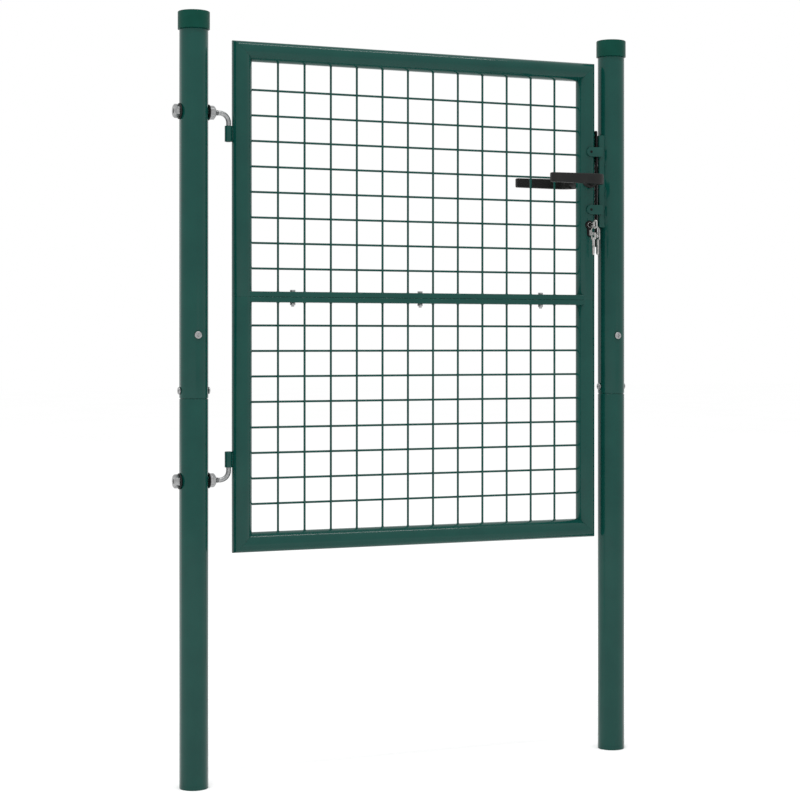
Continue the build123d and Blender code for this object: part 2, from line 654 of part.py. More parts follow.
def lever(side):
    """A cranked lever: side is -1 at the front, +1 at the back."""
    outer = LEVER_REACH
    inner = LEVER_REACH - LEVER_DEPTH
    half_neck = NECK_D / 2
    bend_start = outer - LEVER_BEND
    plan = make_face(Polyline(
        (-LEVER_LENGTH, outer), (half_neck, outer), (half_neck, bend_start), (-half_neck, bend_start),
        (-half_neck, inner), (-LEVER_LENGTH, inner), close=True))
    outer_corner = [v for v in plan.vertices() if v.X > 0 and v.Y > inner]
    plan = fillet(outer_corner, LEVER_BEND - PART_GAP)
    inner_corner = [v for v in plan.vertices() if abs(v.X + half_neck) < 0.01 and v.Y > bend_start + 1]
    plan = fillet(inner_corner, LEVER_BEND - NECK_D)
    bar = extrude(Plane.XY.offset(-LEVER_ROOT_H) * plan, 2 * LEVER_ROOT_H)
    profile = make_face(Polyline(
        (-LEVER_LENGTH, LEVER_END_H / 2), (0, LEVER_ROOT_H / 2), (NECK_D, LEVER_ROOT_H / 2),
        (NECK_D, -LEVER_ROOT_H / 2), (0, -LEVER_ROOT_H / 2), (-LEVER_LENGTH, -LEVER_END_H / 2), close=True))
    bar &= extrude(Plane(origin=(0, 2 * outer, 0), x_dir=(1, 0, 0), z_dir=(0, -1, 0)) * profile, 2 * outer)
    bar = fillet([e for e in bar.edges() if e.center().Y > bend_start + 0.5], LEVER_EDGE)
    neck_start = FRAME_R + 2 * PART_GAP
    neck = cyl((0, neck_start, 0), (0, 1, 0), half_neck, bend_start - neck_start + 1)
    half_socket = SPINDLE_SIDE / 2 + 0.1
    socket = block((-half_socket, 0, -half_socket), (half_socket, SPINDLE_REACH + 1, half_socket))
    whole = bar + neck - socket
    if side < 0:
        whole = Rot(180, 0, 0) * whole
    whole -= cyl((0, side * grub_reach(), 0), (0, 0, -1), 2.5, NECK_D)
    return Pos(STILE_X2, 0, SPINDLE_Z) * whole


def grub_reach():
    """How far from the leaf's mid-plane a lever's grub screw sits."""
    return ROSETTE_REACH + 8


def grub_screw(side):
    start = (STILE_X2, side * grub_reach(), SPINDLE_Z - SPINDLE_SIDE / 2)
    return cyl(start, (0, 0, -1), 2.5, NECK_D / 2 - SPINDLE_SIDE / 2 - 0.4)


def rosette(side):
    """The ring that closes the hole in the stile, hollowed to sit on the round tube."""
    start = (STILE_X2, side * FRAME_R / 2, SPINDLE_Z)
    ring = cyl(start, (0, side, 0), ROSETTE_D / 2, ROSETTE_REACH - FRAME_R / 2)
    along = ring.edges().filter_by(GeomType.CIRCLE).sort_by(Axis.Y)
    ring = fillet(along[-1 if side > 0 else 0], 2.0)
    ring -= cyl((STILE_X2, 0, SPINDLE_Z), (0, side, 0), NECK_D / 2 + PART_GAP, FRAME_D)
    return ring - cyl((STILE_X2, 0, SPINDLE_Z - ROSETTE_D), (0, 0, 1), FRAME_R, 2 * ROSETTE_D)


def levers():
    save("front_lever", lever(-1))
    save("back_lever", lever(1))
    save("lever_spindle", square_bar(2 * SPINDLE_REACH, SPINDLE_SIDE))
    save("lever_grub_screws", grub_screw(-1), grub_screw(1))
    save("front_rosette", rosette(-1))
    save("back_rosette", rosette(1))


# ---------------------------------------------------------------- keys

def key_shape():
    """A flat key in its own frame: bow centred on the origin, blade along -Y, width along Z."""
    plane = Plane.YZ.offset(-KEY_T / 2)
    hole = Pos(KEY_HOLE_SHIFT, 0) * RectangleRounded(KEY_HOLE_LONG, KEY_HOLE_WIDE, 3.0)
    bow = RectangleRounded(KEY_BOW, KEY_WIDTH, 4.5) - hole
    tip = KEY_BOW / 2 + KEY_BLADE
    half = KEY_BLADE_W / 2
    blade = make_face(Polyline((-KEY_BOW / 2 + 1, half), (-tip + half, half), (-tip, 0.8), (-tip, -0.8),
                               (-tip + half, -half), (-KEY_BOW / 2 + 1, -half), close=True))
    flat = extrude(plane * (bow + blade), KEY_T)
    groove_length = KEY_BLADE - half - 2
    groove = Pos(KEY_T / 2, -KEY_BOW / 2 - 1 - groove_length / 2, 0) * Box(1.0, groove_length, 1.8)
    return flat - groove


def key_bow_y():
    return -CYLINDER_LENGTH / 2 - KEY_STANDOFF - KEY_BOW / 2


def ring_top_z():
    """Where the ring's wire lies on the lower edge of the key's hole."""
    return CYLINDER_Z - KEY_HOLE_WIDE / 2 + RING_WIRE_D / 2 + RING_SLACK


def keys():
    bow_y = key_bow_y()
    save("key", Pos(STILE_X2, bow_y, CYLINDER_Z) * Rot(0, 0, 180) * key_shape())
    ring_y = bow_y - KEY_HOLE_SHIFT
    ring_z = ring_top_z() - RING_R
    ring = Pos(STILE_X2, ring_y, ring_z) * Rot(90, 0, 0) * Torus(RING_R, RING_WIRE_D / 2)
    save("key_ring", ring)
    wire_z = ring_z - sqrt(RING_R ** 2 - SPARE_KEY_OFFSET ** 2)
    bow_z = wire_z + SPARE_KEY_HANG - KEY_HOLE_LONG / 2 - KEY_HOLE_SHIFT
    for name, offset in (("spare_key_left", -SPARE_KEY_OFFSET), ("spare_key_right", SPARE_KEY_OFFSET)):
        place = Pos(STILE_X2 + offset, ring_y, bow_z)
        save(name, place * Rot(90, 0, 0) * key_shape())


# ---------------------------------------------------------------- keeper

def keeper():
    """A channel on the latch post, its web towards the leaf, slotted for the two bolts."""
    low_z = KEEPER_Z - KEEPER_H / 2
    high_z = KEEPER_Z + KEEPER_H / 2
    outer = block((KEEPER_X, -KEEPER_WIDTH / 2, low_z), (POST_X, KEEPER_WIDTH / 2, high_z))
    left = [e for e in outer.edges().filter_by(Axis.Z) if e.center().X < KEEPER_X + 1]
    outer = fillet(left, KEEPER_WALL)
    inner_half = KEEPER_WIDTH / 2 - KEEPER_WALL
    inner = block((KEEPER_X + KEEPER_WALL, -inner_half, low_z - 1), (POST_X, inner_half, high_z + 1))
    channel = outer - inner - cyl((POST_X, 0, 0), (0, 0, 1), POST_R, POST_TOP_Z)
    for z, height, thick in ((LATCH_Z, LATCH_H, LATCH_T), (DEADBOLT_Z, DEADBOLT_H, DEADBOLT_T)):
        channel -= Pos(KEEPER_X, 0, z) * Box(4 * KEEPER_WALL, thick + 2, height + 2)
    return channel


def stop_levels():
    return KEEPER_Z - STOP_SPACING / 2, KEEPER_Z + STOP_SPACING / 2


def stop_x():
    return STILE_X2 + STOP_SHIFT


def stop_lug(z):
    """An angled lug welded to the keeper: its tongue stands in front of the stile."""
    back = -(FRAME_R + STOP_CLEAR)
    end = KEEPER_X + KEEPER_WALL + STOP_LEG_T / 2
    plane = Plane(origin=(stop_x(), back, z), x_dir=(1, 0, 0), z_dir=(0, -1, 0))
    reach = end - stop_x()
    tongue = Circle(STOP_H / 2) + Pos(reach / 2, 0) * Rectangle(reach, STOP_H)
    lug = extrude(plane * tongue, STOP_T)
    lug += block((end - STOP_LEG_T, back, z - STOP_H / 2), (end, -KEEPER_WIDTH / 2, z + STOP_H / 2))
    return lug - cyl((stop_x(), 0, z), (0, -1, 0), BUFFER_STEM_D / 2, 2 * FRAME_D)


def stop_buffer(z):
    """A rubber buffer on a stem pressed into the lug."""
    back = FRAME_R + STOP_CLEAR
    face = FRAME_R + PART_GAP
    head = cyl((stop_x(), -face, z), (0, -1, 0), BUFFER_D / 2, back - face)
    return head + cyl((stop_x(), -back, z), (0, -1, 0), BUFFER_STEM_D / 2, STOP_T - 0.4)


def latch_post_fittings():
    low, high = stop_levels()
    save("keeper_channel", keeper())
    save("lower_stop_lug", stop_lug(low))
    save("upper_stop_lug", stop_lug(high))
    save("stop_buffers", stop_buffer(low), stop_buffer(high))


posts()
hinges()
leaf()
lock()
levers()
keys()
latch_post_fittings()

os.makedirs("parts", exist_ok=True)
for node, shape in nodes.items():
    shape.label = node
    export_step(shape, "parts/" + node + ".step")
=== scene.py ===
import json
from math import pi, radians

import bpy
from mathutils import Matrix, Vector


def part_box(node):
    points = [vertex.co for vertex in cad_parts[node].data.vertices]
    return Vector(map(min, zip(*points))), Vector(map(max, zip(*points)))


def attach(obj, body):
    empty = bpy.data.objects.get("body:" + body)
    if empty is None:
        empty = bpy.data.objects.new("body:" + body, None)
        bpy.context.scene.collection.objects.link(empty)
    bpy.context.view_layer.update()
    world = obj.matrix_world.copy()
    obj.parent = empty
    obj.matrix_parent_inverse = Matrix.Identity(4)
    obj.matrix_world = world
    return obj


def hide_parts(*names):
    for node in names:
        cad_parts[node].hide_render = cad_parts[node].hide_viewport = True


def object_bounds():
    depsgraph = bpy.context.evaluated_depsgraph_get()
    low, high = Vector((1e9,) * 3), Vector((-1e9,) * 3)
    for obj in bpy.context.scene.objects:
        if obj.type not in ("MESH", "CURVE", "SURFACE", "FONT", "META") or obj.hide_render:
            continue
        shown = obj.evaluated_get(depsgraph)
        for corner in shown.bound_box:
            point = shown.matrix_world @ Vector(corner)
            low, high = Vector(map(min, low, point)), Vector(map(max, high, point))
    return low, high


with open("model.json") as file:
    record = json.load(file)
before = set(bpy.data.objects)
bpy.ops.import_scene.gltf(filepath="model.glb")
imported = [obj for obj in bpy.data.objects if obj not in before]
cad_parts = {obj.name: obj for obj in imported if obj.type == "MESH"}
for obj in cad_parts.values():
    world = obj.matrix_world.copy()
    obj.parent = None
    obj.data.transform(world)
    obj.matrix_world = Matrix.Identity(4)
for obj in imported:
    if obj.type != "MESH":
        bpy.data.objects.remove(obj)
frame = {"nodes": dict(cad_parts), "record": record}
cad_low, cad_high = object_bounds()
nodes = frame["nodes"]
record = frame["record"]
node_slot = {part["node"]: part["material_slot"] for part in record["subparts"]}
node_body = {n: body for body, members in record["behaviour"]["bodies"].items() for n in members}
MM = 0.001
NOISE_LOW, NOISE_HIGH = 0.3, 0.7      # where nearly all of a noise texture's values lie


# ------------------------------------------------------------------ materials

def linear(hex_colour):
    """sRGB hex to the linear colour that the shader takes."""
    values = [int(hex_colour[i:i + 2], 16) / 255 for i in (0, 2, 4)]
    return tuple(v / 12.92 if v <= 0.04045 else ((v + 0.055) / 1.055) ** 2.4 for v in values) + (1.0,)


def add(material, kind, settings=None, **links):
    """Add one node: plain settings go on its sockets, links join its sockets to other nodes' outputs."""
    tree = material.node_tree
    node = tree.nodes.new(kind)
    for name, value in (settings or {}).items():
        if hasattr(node, name):
            setattr(node, name, value)
        else:
            node.inputs[name.replace("_", " ")].default_value = value
    for name, source in links.items():
        tree.links.new(source, node.inputs[name.replace("_", " ")])
    return node


def new_material(name, colour, roughness, **uniform):
    """A material with one Principled shader, its uniform values set on the shader's own sockets."""
    material = bpy.data.materials.new(name)
    material.use_nodes = True
    shader = material.node_tree.nodes["Principled BSDF"]
    shader.inputs["Base Color"].default_value = linear(colour)
    shader.inputs["Roughness"].default_value = roughness
    for socket, value in uniform.items():
        shader.inputs[socket.replace("_", " ")].default_value = value
    return material, shader


def object_noise(material, size_mm, detail=2.0, roughness=0.5):
    """Noise in object space whose blobs are about size_mm across."""
    place = add(material, "ShaderNodeTexCoord")
    return add(material, "ShaderNodeTexNoise", {"Scale": 1000.0 / size_mm, "Detail": detail,
                                                "Roughness": roughness}, Vector=place.outputs["Object"])


def wire_up(material, shader, socket, source):
    material.node_tree.links.new(source, shader.inputs[socket])


def ranged(material, source, low, high):
    """A noise value stretched over its usual spread to run from low to high."""
    limits = {"From_Min": NOISE_LOW, "From_Max": NOISE_HIGH, "To_Min": low, "To_Max": high}
    return add(material, "ShaderNodeMapRange", limits, Value=source).outputs["Result"]


def tinted(material, source, dark, light):
    """A colour that drifts between two close shades with a noise value."""
    ramp = add(material, "ShaderNodeValToRGB", Fac=source)
    ramp.color_ramp.elements[0].position = NOISE_LOW
    ramp.color_ramp.elements[1].position = NOISE_HIGH
    ramp.color_ramp.elements[0].color = linear(dark)
    ramp.color_ramp.elements[1].color = linear(light)
    return ramp.outputs["Color"]


def bumped(material, shader, height, depth_mm, strength=1.0):
    bump = add(material, "ShaderNodeBump", {"Strength": strength, "Distance": depth_mm * MM}, Height=height)
    wire_up(material, shader, "Normal", bump.outputs["Normal"])


def green_powder_coat():
    # Moss-green polyester powder coat, baked: semi-gloss, with a faint orange peel of about 2 mm and
    # a slight drift of shade where the film is thicker. Its grain is finer than a render shows.
    material, shader = new_material("green_polyester_powder_coat", "0a3c36", 0.14, Specular_IOR_Level=0.22)
    peel = object_noise(material, 2.2, 1.0)
    drift = object_noise(material, 60.0, 3.0)
    wire_up(material, shader, "Base Color", tinted(material, drift.outputs["Fac"], "083a34", "0c3f38"))
    wire_up(material, shader, "Roughness", ranged(material, drift.outputs["Fac"], 0.11, 0.17))
    bumped(material, shader, peel.outputs["Fac"], 0.02, 0.4)
    return material


def green_plastic():
    # Injection-moulded polyethylene cap: a little greener and softer than the coat, fine moulding grain.
    material, shader = new_material("green_moulded_polyethylene", "043a30", 0.36, Specular_IOR_Level=0.1)
    grain = object_noise(material, 0.9, 2.0)
    drift = object_noise(material, 25.0, 2.0)
    wire_up(material, shader, "Base Color", tinted(material, drift.outputs["Fac"], "03382e", "053d33"))
    wire_up(material, shader, "Roughness", ranged(material, drift.outputs["Fac"], 0.33, 0.42))
    bumped(material, shader, grain.outputs["Fac"], 0.015, 0.6)
    return material


def zinc_plate():
    # Bright zinc plate on steel: silver grey, with soft spots of bath staining and fine drawn scratches.
    material, shader = new_material("bright_zinc_plated_steel", "989a9b", 0.32, Metallic=1.0)
    stain = object_noise(material, 5.0, 4.0)
    grit = object_noise(material, 0.5, 2.0)
    wire_up(material, shader, "Base Color", tinted(material, stain.outputs["Fac"], "88898a", "a8a9a9"))
    wire_up(material, shader, "Roughness", ranged(material, stain.outputs["Fac"], 0.24, 0.4))
    bumped(material, shader, grit.outputs["Fac"], 0.01, 0.5)
    return material


def nickel_plate():
    # Nickel-plated brass, tumbled before plating: bright, with small ripples and hairline wear.
    material, shader = new_material("nickel_plated_brass", "a8a8a6", 0.18, Metallic=1.0)
    wear = object_noise(material, 3.0, 4.0)
    wire_up(material, shader, "Base Color", tinted(material, wear.outputs["Fac"], "9c9b98", "b6b6b4"))
    wire_up(material, shader, "Roughness", ranged(material, wear.outputs["Fac"], 0.13, 0.28))
    bumped(material, shader, wear.outputs["Fac"], 0.01, 0.4)
    return material


def black_powder_coat():
    # Fine-structure black powder coat on the forend and cylinder: matt, with a sandy grain of about 0.6 mm.
    material, shader = new_material("black_fine_structure_powder_coat", "121011", 0.5,
                                    Specular_IOR_Level=0.15)
    grain = object_noise(material, 0.6, 3.0)
    drift = object_noise(material, 20.0, 2.0)
    wire_up(material, shader, "Base Color", tinted(material, drift.outputs["Fac"], "100e0f", "151313"))
    wire_up(material, shader, "Roughness", ranged(material, grain.outputs["Fac"], 0.42, 0.58))
    bumped(material, shader, grain.outputs["Fac"], 0.03, 0.7)
    return material


def black_polyamide():
    # Glass-filled polyamide, moulded against an eroded tool: charcoal black, matt, grain of about 0.8 mm.
    material, shader = new_material("black_moulded_polyamide", "1b1b1b", 0.5, Specular_IOR_Level=0.15)
    grain = object_noise(material, 0.8, 3.0)
    drift = object_noise(material, 18.0, 2.0)
    wire_up(material, shader, "Base Color", tinted(material, drift.outputs["Fac"], "191919", "1f1f1e"))
    wire_up(material, shader, "Roughness", ranged(material, drift.outputs["Fac"], 0.44, 0.56))
    bumped(material, shader, grain.outputs["Fac"], 0.03, 0.7)
    return material


def black_rubber():
    # Moulded EPDM rubber: dull black with a fine bloom.
    material, shader = new_material("moulded_epdm_rubber", "0b0b0b", 0.75, Specular_IOR_Level=0.15)
    bloom = object_noise(material, 1.5, 3.0)
    wire_up(material, shader, "Base Color", tinted(material, bloom.outputs["Fac"], "090909", "0f0f0f"))
    bumped(material, shader, bloom.outputs["Fac"], 0.03, 0.6)
    return material


finish = {
    "green_powder_coat": green_powder_coat(),
    "green_plastic": green_plastic(),
    "zinc_plate": zinc_plate(),
    "black_powder_coat": black_powder_coat(),
    "black_plastic": black_polyamide(),
    "nickel_plate": nickel_plate(),
    "black_rubber": black_rubber(),
}


def coat(piece, material):
    piece.data.materials.clear()
    piece.data.materials.append(material)


for name, piece in nodes.items():
    coat(piece, finish[node_slot[name]])


# ------------------------------------------------------------------ making pieces

def only(piece):
    """Make one piece the only one selected and active."""
    if bpy.context.object and bpy.context.object.mode != "OBJECT":
        bpy.ops.object.mode_set(mode="OBJECT")
    bpy.ops.object.select_all(action="DESELECT")
    piece.select_set(True)
    bpy.context.view_layer.objects.active = piece


def settle(piece, angle=32):
    """Leave the piece at the origin, unturned and unscaled, smooth except at its edges."""
    only(piece)
    bpy.ops.object.transform_apply(location=True, rotation=True, scale=True)
    bpy.ops.object.shade_smooth_by_angle(angle=radians(angle))


def outward(piece):
    """Merge doubles and turn every face outwards."""
    only(piece)
    bpy.ops.object.mode_set(mode="EDIT")
    bpy.ops.mesh.select_all(action="SELECT")
    bpy.ops.mesh.remove_doubles(threshold=0.000005)
    bpy.ops.mesh.normals_make_consistent(inside=False)
    bpy.ops.object.mode_set(mode="OBJECT")


def fit_out(piece, slot, body, material=None):
    coat(piece, material or finish[slot])
    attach(piece, body)


def apply_bevel(piece, width_mm, segments, angle=30):
    only(piece)
    bevel = piece.modifiers.new("eased_edges", "BEVEL")
    bevel.width = width_mm * MM
    bevel.segments = segments
    bevel.limit_method = "ANGLE"
    bevel.angle_limit = radians(angle)
    bevel.use_clamp_overlap = True
    bevel.miter_outer = "MITER_ARC"
    bpy.ops.object.modifier_apply(modifier=bevel.name)


def eased(node, width_mm, segments=2, material=None, angle=30):
    """A finished copy of a CAD node with its sharp edges rounded over, shown in its place."""
    source = nodes[node]
    piece = source.copy()
    piece.data = source.data.copy()
    piece.parent = None
    for key in list(piece.keys()):
        if key.startswith("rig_"):
            del piece[key]
    bpy.context.scene.collection.objects.link(piece)
    piece.name = node + "_eased"
    only(piece)
    bpy.ops.object.mode_set(mode="EDIT")
    bpy.ops.mesh.select_all(action="SELECT")
    bpy.ops.mesh.remove_doubles(threshold=0.00002)
    bpy.ops.mesh.dissolve_limited(angle_limit=radians(0.5))
    bpy.ops.object.mode_set(mode="OBJECT")
    if piece.data.has_custom_normals:
        bpy.ops.mesh.customdata_custom_splitnormals_clear()
    apply_bevel(piece, width_mm, segments, angle)
    settle(piece)
    fit_out(piece, node_slot[node], node_body[node], material)
    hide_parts(node)
    return piece


def turned(name, profile, start, direction, steps=32):
    """Turn a profile about an axis: (radius, distance along the axis) points in millimetres."""
    bpy.ops.object.select_all(action="DESELECT")
    bpy.ops.mesh.primitive_plane_add(size=0.001)
    piece = bpy.context.active_object
    piece.name = name
    bpy.ops.object.mode_set(mode="EDIT")
    bpy.ops.mesh.select_all(action="SELECT")
    bpy.ops.mesh.merge(type="CENTER")
    bpy.ops.transform.translate(value=(profile[0][0] * MM, 0, profile[0][1] * MM))
    for before, after in zip(profile, profile[1:]):
        step = ((after[0] - before[0]) * MM, 0, (after[1] - before[1]) * MM)
        bpy.ops.mesh.extrude_region_move(TRANSFORM_OT_translate={"value": step})
    bpy.ops.mesh.select_all(action="SELECT")
    bpy.ops.mesh.spin(steps=steps, angle=2 * pi, center=(0, 0, 0), axis=(0, 0, 1))
    bpy.ops.object.mode_set(mode="OBJECT")
    outward(piece)
    turn = Vector((0, 0, 1)).rotation_difference(Vector(direction))
    piece.matrix_world = Matrix.Translation(Vector(start)) @ turn.to_matrix().to_4x4()
    settle(piece)
    return piece


def joined(name, pieces):
    """One piece from several."""
    only(pieces[0])
    for piece in pieces[1:]:
        piece.select_set(True)
    bpy.ops.object.join()
    pieces[0].name = name
    return pieces[0]


def weld_bead(start, end, radius_mm, steps=10):
    """A rippled run of weld between two points, in metres, thinning at its ends."""
    length = (Vector(end) - Vector(start)).length / MM
    ripple = 1.6
    count = max(3, round(length / ripple))
    profile = [(0, 0)]
    for i in range(1, 2 * count):
        along = i * length / (2 * count)
        ease = min(1.0, along / radius_mm * 0.8, (length - along) / radius_mm * 0.8)
        crest = 1.0 if i % 2 else 0.84
        profile.append((radius_mm * crest * ease ** 0.5, along))
    profile.append((0, length))
    direction = Vector(end) - Vector(start)
    return turned("weld", profile, start, direction, steps)


# ------------------------------------------------------------------ finished copies

EASED = [
    # node, edge radius in millimetres, segments
    ("front_lever", 0.3, 2), ("back_lever", 0.3, 2),
    ("front_rosette", 0.5, 2), ("back_rosette", 0.5, 2),
    ("keeper_channel", 0.5, 2), ("upper_stop_lug", 0.5, 2), ("lower_stop_lug", 0.5, 2),
    ("lock_forend", 0.4, 2), ("latch_bolt", 0.6, 2), ("deadbolt", 0.5, 2),
    ("hinge_outer_nuts", 0.7, 3), ("hinge_inner_nuts", 0.7, 3), ("hinge_spacers", 0.3, 2),
    ("mid_rail_bolts", 0.4, 2), ("mid_rail_nuts", 0.4, 2), ("post_joint_screws", 0.25, 2),
    ("top_hinge_hook", 0.8, 2), ("bottom_hinge_hook", 0.8, 2),
    ("top_hinge_sleeve", 0.7, 3), ("bottom_hinge_sleeve", 0.7, 3),
    ("key", 0.3, 2), ("spare_key_left", 0.3, 2), ("spare_key_right", 0.3, 2),
    ("cylinder_body", 0.5, 2),
    ("top_rail", 0.35, 2), ("bottom_rail", 0.35, 2),
    ("hinge_stile_upper", 0.35, 2), ("hinge_stile_lower", 0.35, 2),
    ("latch_stile_upper", 0.35, 2), ("latch_stile_lower", 0.35, 2),
    ("hinge_post_lower", 0.4, 2), ("hinge_post_upper", 0.4, 2),
    ("latch_post_lower", 0.4, 2), ("latch_post_upper", 0.4, 2),
]
for node, radius_mm, segments in EASED:
    eased(node, radius_mm, segments)


# ------------------------------------------------------------------ welds

def centre(node):
    low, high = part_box(node)
    return (low + high) / 2


def hinge_welds():
    """Two runs beside each sleeve, in the groove between it and the stile."""
    welds = []
    for node in ("top_hinge_sleeve", "bottom_hinge_sleeve"):
        low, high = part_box(node)
        touch_x = high.x
        for side in (-1, 1):
            y = side * 3.2 * MM
            welds.append(weld_bead((touch_x, y, low.z + 2 * MM), (touch_x, y, high.z - 2 * MM), 1.5))
    piece = joined("hinge_sleeve_welds", welds)
    fit_out(piece, "green_powder_coat", "leaf")


def mid_rail_welds():
    """Runs along the top and bottom of the mid rails where they meet the stiles."""
    welds = []
    rail_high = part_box("upper_mid_rail")[1]
    lower_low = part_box("lower_mid_rail")[0]
    for node, side in (("hinge_stile_upper", 1), ("latch_stile_upper", -1)):
        low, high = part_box(node)
        stile_x = centre(node).x
        radius = (high.y - low.y) / 2
        for z in (rail_high.z, lower_low.z):
            for y_from, y_to in ((-13, -4.5), (-4.5, 4.5), (4.5, 13)):
                points = []
                for y in (y_from * MM, y_to * MM):
                    reach = (radius ** 2 - y ** 2) ** 0.5
                    points.append((stile_x + side * reach, y, z))
                welds.append(weld_bead(points[0], points[1], 1.1, 8))
    piece = joined("mid_rail_welds", welds)
    fit_out(piece, "green_powder_coat", "leaf")


def keeper_welds():
    """Runs down both flanges of the keeper on the post, and behind the stop lugs."""
    low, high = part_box("keeper_channel")
    welds = []
    for y in (low.y, high.y):
        for i in range(4):
            z = low.z + (high.z - low.z) * (0.08 + 0.25 * i)
            welds.append(weld_bead((high.x - 0.2 * MM, y, z), (high.x - 0.2 * MM, y, z + 22 * MM), 1.6))
    for node in ("upper_stop_lug", "lower_stop_lug"):
        lug_low, lug_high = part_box(node)
        for z in (lug_low.z, lug_high.z):
            x = lug_high.x
            welds.append(weld_bead((x - 2.2 * MM, low.y, z), (x, low.y, z), 0.7, 8))
        foot, head = lug_low.z + MM, lug_high.z - MM
        welds.append(weld_bead((lug_high.x, low.y, foot), (lug_high.x, low.y, head), 1.2))
    piece = joined("keeper_welds", welds)
    fit_out(piece, "green_powder_coat", "posts")


def spread(first, last, count):
    return [first + (last - first) * i / (count - 1) for i in range(count)]


def mesh_welds(half, uprights=12, crosses=8):
    """Fused collars where the wires end on the frame, and a nugget at each crossing."""
    up_low, up_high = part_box(half + "_upright_wires")
    cross_low, cross_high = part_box(half + "_cross_wires")
    wire = (up_high.y - up_low.y) / 2
    columns = spread(up_low.x + wire, up_high.x - wire, uprights)
    rows = spread(cross_low.z + wire, cross_high.z - wire, crosses)
    up_y, cross_y = up_low.y + wire, cross_high.y - wire
    r = wire / MM
    collar = [(r + 0.95, -1.2), (r + 0.95, 0.5), (r + 0.35, 1.3), (r, 2.4), (r - 0.05, 3.0)]
    ends = []
    for x in columns:
        ends.append(((x, up_y, up_low.z), (0, 0, 1)))
        ends.append(((x, up_y, up_high.z), (0, 0, -1)))
    for z in rows:
        ends.append(((cross_low.x, cross_y, z), (1, 0, 0)))
        ends.append(((cross_high.x, cross_y, z), (-1, 0, 0)))
    shapes = [(collar, place, way, 10) for place, way in ends]
    nugget = [(0, -1.1), (r * 0.8, -0.9), (r + 0.2, 0), (r * 0.8, 0.9), (0, 1.1)]
    middle_y = (up_y + cross_y) / 2
    shapes += [(nugget, (x, middle_y, z), (0, 1, 0), 8) for x in columns for z in rows]
    masters = {}
    copies = []
    for profile, place, way, steps in shapes:
        kind = (len(profile), profile[0][0], steps)
        if kind not in masters:
            masters[kind] = turned("weld_master", profile, (0, 0, 0), (0, 0, 1), steps)
        copy = masters[kind].copy()
        copy.data = masters[kind].data.copy()
        turn = Vector((0, 0, 1)).rotation_difference(Vector(way))
        copy.data.transform(Matrix.Translation(Vector(place)) @ turn.to_matrix().to_4x4())
        bpy.context.scene.collection.objects.link(copy)
        copies.append(copy)
    for master in masters.values():
        bpy.data.objects.remove(master)
    piece = joined(half + "_mesh_welds", copies)
    fit_out(piece, "green_powder_coat", "leaf")


hinge_welds()
mid_rail_welds()
keeper_welds()
mesh_welds("upper")
mesh_welds("lower")


# ------------------------------------------------------------------ hinge threads, lock face and key ring

THREAD_PITCH = 1.25          # millimetres
THREAD_TURNS = 4
STRIP_LIFT = 8.0             # middle of the tail's strip above the cylinder's lowest point
STRIP_HALF = (1.3, 0.35, 5.6)         # half the strip's width, depth and height


def hinge_threads():
    """The few turns of thread that show on each hook in front of its inner nut."""
    pieces = []
    nut_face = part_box("hinge_inner_nuts")[1].x
    for node in ("top_hinge_hook", "bottom_hinge_hook"):
        low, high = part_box(node)
        rod = (high.y - low.y) / 2 / MM
        z = high.z - rod * MM if node == "top_hinge_hook" else low.z + rod * MM
        profile = [(rod - 0.2, -1.0)]
        for i in range(THREAD_TURNS):
            start = i * THREAD_PITCH
            profile += [(rod + 0.1, start - 0.6), (rod + 0.6, start - 0.1), (rod + 0.1, start + 0.4)]
        profile.append((rod - 0.2, 5.0))
        pieces.append(turned("thread", profile, (nut_face, 0, z), (1, 0, 0), 32))
    piece = joined("hinge_hook_threads", pieces)
    fit_out(piece, "zinc_plate", "posts", worn_zinc)


def lock_face():
    """The bright rim round each plug's face."""
    for node, way in (("front_plug", -1), ("back_plug", 1)):
        low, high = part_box(node)
        face_y = low.y if way < 0 else high.y
        middle = centre(node)
        radius = (high.z - low.z) / 2 / MM
        rim = [(radius - 0.05, -1.2), (radius - 0.05, 0.25), (radius - 0.25, 0.5), (radius - 0.6, 0.5),
               (radius - 0.8, 0.2), (radius - 0.8, -1.2)]
        piece = turned(node + "_rim", rim + rim[:1], (middle.x, face_y, middle.z), (0, way, 0), 48)
        fit_out(piece, "nickel_plate", node_body[node])


def tail_strip():
    """A bright nickel strip set on the front of the cylinder's tail."""
    low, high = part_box("cylinder_body")
    bpy.ops.object.select_all(action="DESELECT")
    bpy.ops.mesh.primitive_cube_add(size=2, location=((low.x + high.x) / 2, low.y, low.z + STRIP_LIFT * MM))
    piece = bpy.context.active_object
    piece.name = "cylinder_tail_strip"
    piece.scale = [half * MM for half in STRIP_HALF]
    bpy.ops.object.transform_apply(location=True, rotation=True, scale=True)
    apply_bevel(piece, 0.3, 3)
    settle(piece)
    fit_out(piece, "nickel_plate", "leaf")


def buffer_heads():
    """The domed front end of each rubber stop's stem, pulled through the lug."""
    for node in ("upper_stop_lug", "lower_stop_lug"):
        low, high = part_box(node)
        stops_low, stops_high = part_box("stop_buffers")
        place = ((stops_low.x + stops_high.x) / 2, low.y, (low.z + high.z) / 2)
        dome = [(0, -1.0), (2.7, -1.0), (2.7, 0.3), (2.2, 0.8), (1.2, 1.1), (0, 1.15)]
        piece = turned(node.replace("lug", "stem_head"), dome, place, (0, -1, 0), 24)
        fit_out(piece, "black_rubber", "posts")


